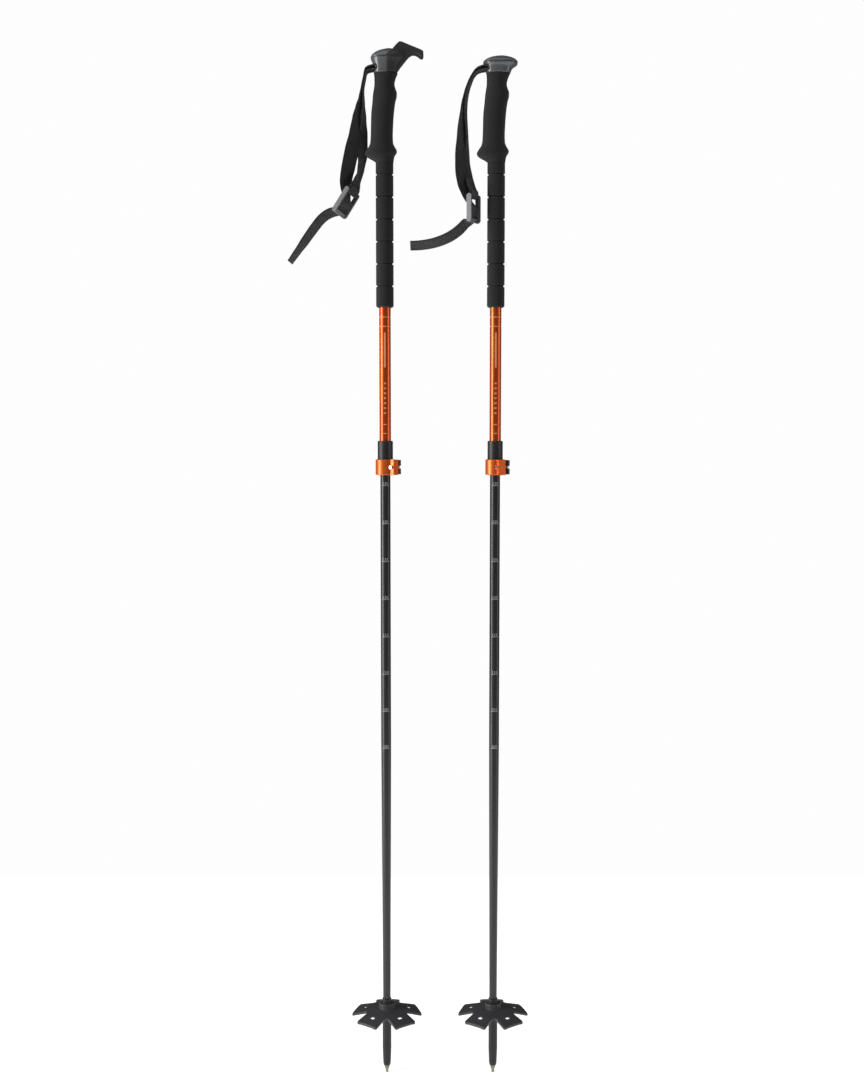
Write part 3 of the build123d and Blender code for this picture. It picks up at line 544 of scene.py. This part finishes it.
def tool_box(low, high):
    """A block for cutting with, from its two corners in mm."""
    bm = bmesh.new()
    bmesh.ops.create_cube(bm, size=1)
    size = [b - a for a, b in zip(low, high)]
    middle = [(a + b) / 2 for a, b in zip(low, high)]
    for v in bm.verts:
        v.co = Vector([(m + c * s) * MM for m, c, s in zip(middle, v.co, size)])
    bmesh.ops.bevel(bm, geom=list(bm.edges), offset=0.7 * MM, segments=2, affect="EDGES")
    mesh = bpy.data.meshes.new("tool")
    bm.to_mesh(mesh)
    bm.free()
    tool = bpy.data.objects.new("tool", mesh)
    scene.collection.objects.link(tool)
    return tool


def prism(points, half):
    """A block with a side outline in (x, z) mm, from -half to half in y."""
    n = len(points)
    verts = [(px * MM, y * MM, pz * MM) for y in (-half, half) for px, pz in points]
    faces = [tuple(range(n)), tuple(range(2 * n - 1, n - 1, -1))]
    faces += [(k, (k + 1) % n, n + (k + 1) % n, n + k) for k in range(n)]
    mesh = bpy.data.meshes.new("tool")
    mesh.from_pydata(verts, [], faces)
    bm = bmesh.new()
    bm.from_mesh(mesh)
    bmesh.ops.recalc_face_normals(bm, faces=bm.faces)
    bm.to_mesh(mesh)
    bm.free()
    tool = bpy.data.objects.new("tool", mesh)
    scene.collection.objects.link(tool)
    return tool


def remeshed(piece, voxel, rounds, factor=0.5):
    """The solid with its edges rounded as a mould leaves them."""
    step = piece.modifiers.new("even", "REMESH")
    step.mode = "VOXEL"
    step.voxel_size = voxel * MM
    step.use_smooth_shade = True
    soft = piece.modifiers.new("soft", "SMOOTH")
    soft.factor = factor
    soft.iterations = rounds
    apply_all(piece)
    for face in piece.data.polygons:
        face.use_smooth = True
    return piece


def loft(name, x, rows, slot):
    """A closed solid through the rows, a little squarer than an ellipse in plan."""
    return skin(name, [oval_ring(x, row, AROUND, 2.5) for row in rows], slot)


def make_head(side, x):
    head = loft(f"{side}_head_shape", x, head_rows(side), "grey_gloss")
    boolean(head, tool_box((x / MM - 40, -10.9, 1330.5), (x / MM - 8.0, 10.9, 1337.5)), "DIFFERENCE")
    cap = loft(f"{side}_cap_shape", x, cap_rows(side), "grey_gloss")
    if side == "left":
        rim = RIM_Z[side]
        # The hook's seat: everything in front of its back face is cut from the head and the cap.
        room = [(3.47, 1320), (3.47, rim + 2.0), (13.47, rim + 14.0), (13.47, rim + 40),
                (60, rim + 40), (60, 1320)]
        boolean(head, prism(room, 30), "DIFFERENCE")
        boolean(cap, prism(room, 30), "DIFFERENCE")
        make_hook(x)
    for piece, node in ((head, "head"), (cap, "cap")):
        piece.data.materials.clear()
        piece.data.materials.append(LOOK["grey_gloss"])
        remeshed(piece, 0.4, 3)
        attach(piece, f"{side}_upper")
        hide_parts(f"{side}_{node}")


HOOK = [
    (14.2, 1327.3), (3.5, 1327.3), (3.5, 1347.5), (13.5, 1359.5), (17.4, 1363.6), (19.4, 1365.2),
    (21.0, 1365.4), (22.8, 1365.0), (31.0, 1361.6), (40.0, 1358.0), (48.0, 1354.8), (49.8, 1353.4),
    (50.4, 1351.4), (50.2, 1349.0), (49.0, 1347.1), (47.4, 1346.9), (45.6, 1347.7), (43.6, 1349.3),
    (41.6, 1350.7), (39.2, 1351.7), (36.8, 1351.9), (34.2, 1351.2), (31.8, 1349.7), (28.8, 1346.6),
    (25.8, 1342.9), (23.0, 1339.4), (20.2, 1335.9), (17.0, 1331.3),
]


def make_hook(x):
    rows = head_rows("left") + cap_rows("left")
    saddle = loft("left_hook_saddle", x, rows, "hook_rubber")
    boolean(saddle, prism(HOOK, 40), "INTERSECT")
    arm = prism(HOOK, 10)
    hook = make_piece("left_hook_shape", [v.co for v in saddle.data.vertices],
                      [tuple(p.vertices) for p in saddle.data.polygons], "hook_rubber")
    bpy.data.objects.remove(saddle)
    boolean(hook, arm, "UNION")
    hook.data.materials.clear()
    hook.data.materials.append(LOOK["hook_rubber"])
    remeshed(hook, 0.5, 8)
    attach(hook, "left_upper")
    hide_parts("left_hook")


# ================================================================ straps
STRAP = {
    "left": (
        (-49.5, -8.0, 1163.5), 32.0, -40.0,
        [
            ((-23.2, 0, 1332.6), 0), ((-26.0, 0, 1322.5), 0), ((-28.4, 0, 1309.0), -3),
            ((-30.2, 0, 1296.0), -10), ((-32.5, -0.5, 1283.0), -22), ((-34.6, -3, 1268.0), -36),
            ((-37.0, -6, 1250.0), -48), ((-41.5, -7, 1230.0), -60), ((-46.0, -7, 1209.0), -58),
            ((-49.2, -5, 1193.0), -48),
        ],
        [
            ((-22.2, 0, 1329.4), 0), ((-24.4, 0, 1321.5), 0), ((-26.7, 0, 1308.5), 0),
            ((-26.6, 0.5, 1290.0), -4), ((-27.2, 3.5, 1270.0), -17), ((-28.2, 7, 1250.0), -33),
            ((-28.8, 9, 1229.0), -36), ((-30.6, 8, 1212.0), -22), ((-33.8, 3, 1196.0), -14),
            ((-36.4, -4, 1186.0), -24),
        ],
        [
            ((-64.0, -4.0, 1152.5), (-0.3, -0.85, 0.4)), ((-72.0, -3.0, 1150.0), (-0.25, -0.87, 0.41)),
            ((-81.0, -3.0, 1143.5), (-0.3, -0.87, 0.36)), ((-91.0, -3.0, 1131.5), (-0.36, -0.89, 0.29)),
            ((-101.5, -3.0, 1117.0), (-0.34, -0.9, 0.24)), ((-112.0, -3.0, 1102.5), (-0.24, -0.95, 0.18)),
            ((-122.5, -3.0, 1088.0), (-0.18, -0.97, 0.14)),
        ],
    ),
    "right": (
        (-29.2, -6.0, 1156.6), 0.0, -30.0,
        [
            ((-24.4, 0, 1333.0), 0), ((-30.0, 0, 1326.4), -3), ((-35.4, 0, 1315.0), -7),
            ((-39.4, 0, 1302.0), -11), ((-42.4, -1, 1283.0), -19), ((-45.0, -3, 1249.0), -33),
            ((-45.3, -5, 1221.0), -50), ((-44.4, -5, 1203.0), -56), ((-42.6, -3.5, 1190.0), -50),
            ((-39.6, -1.5, 1178.0), -38),
        ],
        [
            ((-23.4, 0, 1329.6), 0), ((-28.6, 0, 1325.0), -3), ((-34.0, 0, 1314.0), -7),
            ((-37.8, 0.2, 1301.6), -10), ((-39.8, 2, 1283.0), -12), ((-37.8, 7, 1249.0), -10),
            ((-37.8, 11, 1221.0), -22), ((-35.8, 8, 1203.0), -29), ((-32.6, 1, 1188.0), -30),
        ],
        [
            ((-38.0, -1.0, 1139.0), (-0.4, -0.85, 0.35)), ((-47.5, 1.5, 1130.0), (-0.3, -0.82, 0.5)),
            ((-58.0, 2.0, 1122.5), (-0.2, -0.82, 0.54)), ((-71.0, 2.0, 1116.5), (-0.1, -0.84, 0.55)),
            ((-85.0, 2.0, 1112.5), (-0.05, -0.85, 0.52)), ((-99.0, 2.0, 1110.5), (0, -0.86, 0.5)),
            ((-111.0, 2.0, 1110.0), (0, -0.87, 0.48)),
        ],
    ),
}
STRAP_WIDTH, STRAP_THICK = 20.0, 1.2
BARS = (-14.0, 1.0, 14.0)
BAR_R = 1.3
BAR_GAP = 0.25
STRAP_PIN = (-9.6, 0, 1334.0)
STRAP_PIN_R = 1.55
CURL = 0.35                      # how far the webbing's edges stand proud of its middle, in mm
TACK = (20.0, 34.0)              # the sewn stretch, measured along the webbing from its end
TACK_LANES = 7


def width_way(degrees):
    angle = math.radians(degrees)
    return Vector((math.sin(angle), -math.cos(angle), 0))


def buckle_axes(side):
    centre, lean, turn = STRAP[side][:3]
    angle = math.radians(lean)
    down = Vector((-math.sin(angle), 0, -math.cos(angle)))
    hint = width_way(turn)
    front = down.cross(hint).normalized()
    across = front.cross(down).normalized()
    return Vector(centre), down, across, front


def strap_stations(side):
    """The webbing's middle line from its sewn end, up the inner strand, round the pin, down the outer
    strand, through the buckle and out to the tail: points and width directions in mm from the pole."""
    centre, down, across, front = buckle_axes(side)
    outer, inner, tail = STRAP[side][3:]

    def at(along, out):
        return (centre + down * along + front * out, across)

    half = STRAP_THICK / 2
    top, middle, bottom = BARS
    over = BAR_R + half + BAR_GAP
    line = [at(top - 8.5, -0.6 - half), at(top - 4.0, -over * 0.8), at(top, -over),
            at(top + over * 0.75, -over * 0.7),
            at(top + over, 0), at(top + over * 0.7, over * 0.75), at(top, over), at(top - 3.4, over * 0.6),
            at(top - 6.5, 0.4)]
    line += [(Vector(p), width_way(a)) for p, a in reversed(inner)]
    pin = Vector(STRAP_PIN)
    wrap = STRAP_PIN_R + half
    straight = width_way(0)
    line += [(pin + Vector((px, 0, pz)), straight) for px, pz in (
        (-5.0, -wrap), (-1.0, -wrap), (wrap * 0.8, -wrap * 0.6), (wrap, 0),
        (wrap * 0.8, wrap * 0.6), (-1.0, wrap), (-5.0, wrap))]
    line += [(Vector(p), width_way(a)) for p, a in outer]
    seam = over + STRAP_THICK + 0.1
    line += [at(top + 4.5, seam + 3.4), at(top + 9.0, seam - 0.6), at(middle - 3.4, -0.2),
             at(middle, -over), at((middle + bottom) / 2, 0), at(bottom, over)]
    line += [(Vector(p), Vector(w).normalized()) for p, w in tail]
    return line


def curl_at(share):
    """How far the webbing stands out at a share of its half width."""
    return CURL * (share * share - 0.4)


def make_strap(side, x):
    stations = strap_stations(side)
    points, marks = smooth_path([p for p, _ in stations], 2.0)
    ways = [w for _, w in stations]
    rows = []
    travelled = 0.0
    for i, (p, mark) in enumerate(zip(points, marks)):
        a = min(int(mark), len(ways) - 2)
        t = mark - a
        t = t * t * (3 - 2 * t)
        hint = ways[a].lerp(ways[a + 1], t)
        along = (points[min(i + 1, len(points) - 1)] - points[max(i - 1, 0)]).normalized()
        across = (hint - along * hint.dot(along)).normalized()
        out = along.cross(across).normalized()
        if i:
            travelled += (p - points[i - 1]).length
        rows.append((p, across, out, travelled))
    half_w, half_t = STRAP_WIDTH / 2, STRAP_THICK / 2
    profile = [
        (-1.0, -0.35), (-0.985, -0.8), (-0.94, -1), (-0.6, -1), (-0.2, -1), (0.2, -1), (0.6, -1),
        (0.94, -1), (0.985, -0.8), (1.0, -0.35), (1.0, 0.35), (0.985, 0.8), (0.94, 1), (0.6, 1),
        (0.2, 1), (-0.2, 1), (-0.6, 1), (-0.94, 1), (-0.985, 0.8), (-1.0, 0.35),
    ]
    verts, uvs = [], []
    for p, across, out, s in rows:
        # A slight curl across the width, as woven webbing has when it hangs.
        for u, v in profile:
            spot = p + across * (u * half_w) + out * (v * half_t + curl_at(u))
            verts.append(Vector((x, 0, 0)) + spot * MM)
            uvs.append(((u * half_w + half_w) * MM, s * MM))
    n = len(profile)
    faces = [(i * n + k, i * n + (k + 1) % n, (i + 1) * n + (k + 1) % n, (i + 1) * n + k)
             for i in range(len(rows) - 1) for k in range(n)]
    faces += [tuple(range(n - 1, -1, -1)), tuple((len(rows) - 1) * n + k for k in range(n))]
    strap = make_piece(f"{side}_webbing", verts, faces, "webbing")
    layer = strap.data.uv_layers.new(name="along_strap")
    for loop in strap.data.loops:
        layer.data[loop.index].uv = uvs[loop.vertex_index]
    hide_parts(f"{side}_strap_anchor", f"{side}_strap_loop")
    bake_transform(strap)
    make_stitches(side, x, rows)
    print("strap", side, "length mm", round(travelled, 1))


def make_stitches(side, x, rows):
    """Thread of the bar tack that closes the sewn loop over the buckle's top bar."""
    verts, faces = [], []
    sewn = [row for row in rows if TACK[0] <= row[3] <= TACK[1]]
    for lane in range(TACK_LANES):
        u = -7.2 + lane * 2.4
        for k in range(0, len(sewn) - 1):
            p, across, out, s = sewn[k]
            along = (sewn[k + 1][0] - p).normalized()
            for flip in (-1, 1):
                lift = flip * (STRAP_THICK / 2 + 0.08) + curl_at(u / (STRAP_WIDTH / 2))
                base = p + across * u + out * lift
                ends = (base - along * 0.15, base + along * 1.3)
                start = len(verts)
                for e in ends:
                    for a in range(6):
                        turn = a * math.pi / 3
                        rim = across * 0.19 * math.cos(turn) + out * 0.16 * math.sin(turn)
                        verts.append(Vector((x, 0, 0)) + MM * (e + rim))
                faces += [(start + a, start + (a + 1) % 6, start + 6 + (a + 1) % 6, start + 6 + a)
                          for a in range(6)]
                faces.append(tuple(start + a for a in range(5, -1, -1)))
                faces.append(tuple(start + 6 + a for a in range(6)))
    thread = make_piece(f"{side}_stitching", verts, faces, "webbing", look=THREAD)
    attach(thread, f"{side}_strap")


THREAD = printed("sewing_thread", (74, 74, 76))


def rounded_copy(node, name, voxel, rounds, body, slot):
    """A moulded version of a CAD solid, with its edges rounded."""
    source = frame["nodes"][node]
    piece = bpy.data.objects.new(name, source.data.copy())
    scene.collection.objects.link(piece)
    remeshed(piece, voxel, rounds)
    piece.data.materials.clear()
    piece.data.materials.append(LOOK[slot])
    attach(piece, body)
    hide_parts(node)
    return piece


# ================================================================ length marks
MARK_COUNT = 8
MARK_TOP, MARK_STEP = 801.0, 50.0            # mm
MARK_FIRST, MARK_NEXT = 135, 5               # cm, as printed
LOWER_FILM_R, UPPER_FILM_R = 6.65, 7.55
MARK = printed("mark_print", (176, 176, 174))
STRIPE = printed("stripe_print", (236, 148, 100))


def wrapped(name, flat, radius, x, facing, slot, look, body):
    """A thin printed film: flat faces in (arc, height) mm, bent round a pole, facing an angle."""
    verts, faces = [], []
    for outline in flat:
        start = len(verts)
        for arc, height in outline:
            angle = math.radians(facing) + arc / radius
            verts.append((x + radius * math.cos(angle) * MM, radius * math.sin(angle) * MM, height * MM))
        faces.append(tuple(range(start, len(verts))))
    film = make_piece(name, verts, faces, slot, smooth=False, look=look)
    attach(film, body)
    return film


def bar(arc_from, arc_to, low, high, pieces=12):
    """A printed bar as narrow faces, so that it bends round the tube."""
    out = []
    for k in range(pieces):
        a = arc_from + (arc_to - arc_from) * k / pieces
        b = arc_from + (arc_to - arc_from) * (k + 1) / pieces
        out.append([(a, low), (b, low), (b, high), (a, high)])
    return out


def digits(text, size, middle_arc, low):
    """A plain number as small faces, from Blender's own letters."""
    curve = bpy.data.curves.new("digits", "FONT")
    curve.body = text
    curve.size = size
    curve.align_x = "CENTER"
    curve.resolution_u = 3
    source = bpy.data.objects.new("digits", curve)
    scene.collection.objects.link(source)
    bpy.context.view_layer.update()
    mesh = bpy.data.meshes.new_from_object(source.evaluated_get(bpy.context.evaluated_depsgraph_get()))
    out = [[(mesh.vertices[v].co.x + middle_arc, mesh.vertices[v].co.y + low) for v in face.vertices]
           for face in mesh.polygons]
    bpy.data.objects.remove(source)
    bpy.data.meshes.remove(mesh)
    return out


def make_marks(side, x):
    flat = []
    for number in range(MARK_COUNT):
        height = MARK_TOP - MARK_STEP * number
        flat += bar(-5.5, 5.5, height - 1.9, height - 1.4)
        flat += digits(str(MARK_FIRST - MARK_NEXT * number), 5.2, 0.0, height - 0.8)
    wrapped(f"{side}_length_marks", flat, LOWER_FILM_R, x, -90, "black_shaft", MARK, f"{side}_lower")


def make_stripes(side, x):
    flat = []
    for low in (1005.4, 1017.4):
        flat += bar(-11.0, 11.0, low, low + 1.1, 30)
    flat += bar(-1.1, 1.1, 953.0, 998.0, 2)
    for number in range(7):
        flat += bar(-1.4, 1.4, 893.0 + 6.4 * number, 895.2 + 6.4 * number, 2)
    for low in (867.0, 878.6):
        flat += bar(-2.2, 2.2, low, low + 1.2, 4)
    wrapped(f"{side}_stripes", flat, UPPER_FILM_R, x, -90, "orange_shaft", STRIPE, f"{side}_upper")


for side, x in POLE_X.items():
    make_grip(side, x)
    make_head(side, x)
    make_strap(side, x)
    make_marks(side, x)
    make_stripes(side, x)
    rounded_copy(f"{side}_basket", f"{side}_basket_shape", 0.6, 5, f"{side}_basket_body", "basket_plastic")
    rounded_copy(f"{side}_buckle", f"{side}_buckle_shape", 0.35, 5, f"{side}_strap", "buckle_plastic")


# ================================================================ floor
floor_mesh = bpy.data.meshes.new("floor")
floor_mesh.from_pydata([(-1.6, -1.2, 0), (1.6, -1.2, 0), (1.6, 0.8, 0), (-1.6, 0.8, 0)], [], [(0, 1, 2, 3)])
floor = bpy.data.objects.new("floor", floor_mesh)
scene.collection.objects.link(floor)
paper = bpy.data.materials.new("white_paper")
paper.use_nodes = True
put = paper.node_tree.nodes["Principled BSDF"].inputs
put["Base Color"].default_value = (0.9, 0.9, 0.9, 1)
put["Roughness"].default_value = 0.9
put["Specular IOR Level"].default_value = 0.1
put["Emission Color"].default_value = (1, 1, 1, 1)
put["Emission Strength"].default_value = 0.8
floor_mesh.materials.append(paper)
